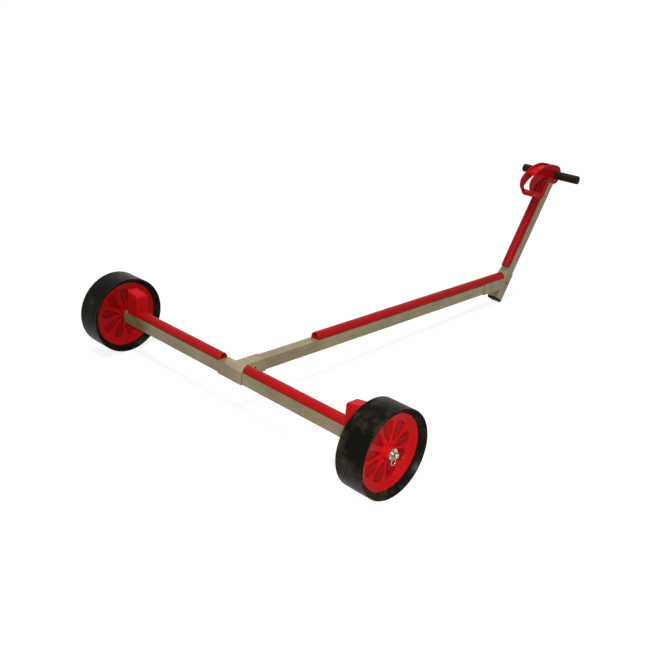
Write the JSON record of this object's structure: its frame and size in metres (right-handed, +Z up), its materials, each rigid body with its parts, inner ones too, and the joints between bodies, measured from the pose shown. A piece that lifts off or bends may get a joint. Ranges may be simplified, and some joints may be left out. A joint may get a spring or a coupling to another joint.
{
  "type": "dinghy trolley",
  "caption": "Two-wheeled launching trolley for a small dinghy: a square-tube T frame with padded beam and drawbar, side stops, and a raised bow snubber with a handlebar.",
  "frame": {"origin": "on the floor under the middle of the whole trolley, as it parks on its wheels and foot plug", "axes": "+X forward to the handlebar, +Y left along the axle, +Z up"},
  "size_m": [1.8966, 1.3672, 0.5492],
  "materials": {
    "aluminium": "satin",
    "red_moulding": "semi-gloss",
    "red_pad": "satin",
    "tyre_rubber": "satin",
    "black_rubber": "matte",
    "black_plastic": "satin",
    "plated_steel": "bright"
  },
  "bodies": {
    "frame": {"axle_beam": "aluminium", "beam_pad_left": "red_pad", "beam_pad_right": "red_pad", "bow_snubber": "red_moulding", "clip_left": "plated_steel", "clip_right": "plated_steel", "drawbar": "aluminium", "drawbar_pad": "red_pad", "elbow_button": "black_plastic", "elbow_socket": "aluminium", "end_plug_left": "black_plastic", "end_plug_right": "black_plastic", "foot_plug": "black_rubber", "grip_left": "black_rubber", "grip_right": "black_rubber", "handlebar": "aluminium", "inner_washer_left": "plated_steel", "inner_washer_right": "plated_steel", "outer_washer_left": "plated_steel", "outer_washer_right": "plated_steel", "side_stop_left": "red_moulding", "side_stop_right": "red_moulding", "snubber_pin": "plated_steel", "spindle_left": "plated_steel", "spindle_right": "plated_steel", "tee_button": "black_plastic", "tee_socket": "aluminium", "upright": "aluminium", "upright_pad": "red_pad"},
    "wheel_left": {"rim_left": "red_moulding", "tyre_left": "tyre_rubber", "bush_left": "black_plastic"},
    "wheel_right": {"rim_right": "red_moulding", "tyre_right": "tyre_rubber", "bush_right": "black_plastic"}
  },
  "joints": [
    {"name": "wheel_left_spin", "type": "hinge", "parent": "frame", "child": "wheel_left", "pos_m": [-0.81234, 0.629, 0.136], "axis": [0, 1, 0], "continuous": true},
    {"name": "wheel_right_spin", "type": "hinge", "parent": "frame", "child": "wheel_right", "pos_m": [-0.81234, -0.629, 0.136], "axis": [0, 1, 0], "continuous": true}
  ]
}
